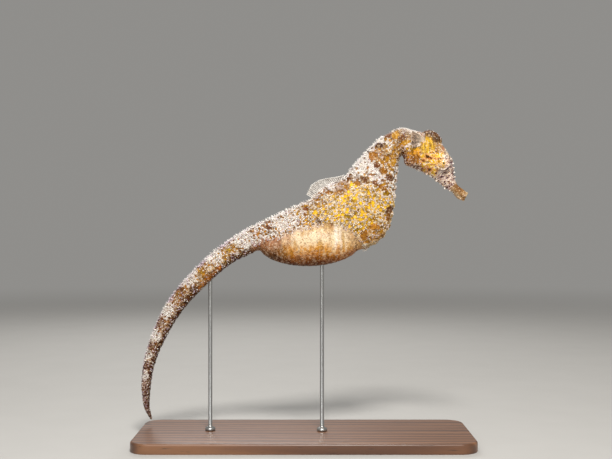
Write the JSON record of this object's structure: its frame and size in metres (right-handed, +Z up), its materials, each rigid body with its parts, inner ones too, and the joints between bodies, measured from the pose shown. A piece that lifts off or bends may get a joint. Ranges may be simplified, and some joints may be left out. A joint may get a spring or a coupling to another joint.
{
  "type": "big-belly seahorse model on a display stand",
  "caption": "Life-size male big-belly seahorse with a full brood pouch, swimming level with its tail trailing down, held by rods on a flat wooden display base.",
  "frame": {"origin": "the middle of the stand's underside, on the surface that it stands on", "axes": "+X the way the seahorse swims, towards its snout; +Y its left side; +Z up"},
  "size_m": [0.166, 0.062, 0.1566],
  "materials": {
    "gold_skin": "satin, golden ochre spots in a white granular net with brown blotches",
    "pale_skin": "satin, cream white with brown mottling and white saddles",
    "pouch_skin": "satin, cream above and orange brown below",
    "fin_skin": "thin and translucent, with pale rays",
    "eye_glass": "glossy, white and gold streaks round a small dark pupil",
    "stand_wood": "dark stained walnut, satin lacquer",
    "stand_steel": "brushed"
  },
  "bodies": {
    "root": {"snout": "gold_skin", "head": "gold_skin", "neck": "gold_skin", "trunk_front": "gold_skin", "trunk_rear": "gold_skin", "coronet": "gold_skin", "tail_base": "pale_skin", "tail_upper": "pale_skin", "tail_middle": "pale_skin", "tail_lower": "pale_skin", "tail_tip": "pale_skin", "brood_pouch": "pouch_skin", "dorsal_fin": "fin_skin", "pectoral_fin_left": "fin_skin", "pectoral_fin_right": "fin_skin", "anal_fin": "fin_skin", "eye_left": "eye_glass", "eye_right": "eye_glass", "stand_base": "stand_wood", "stand_rod_front": "stand_steel", "stand_rod_rear": "stand_steel"}
  },
  "joints": []
}
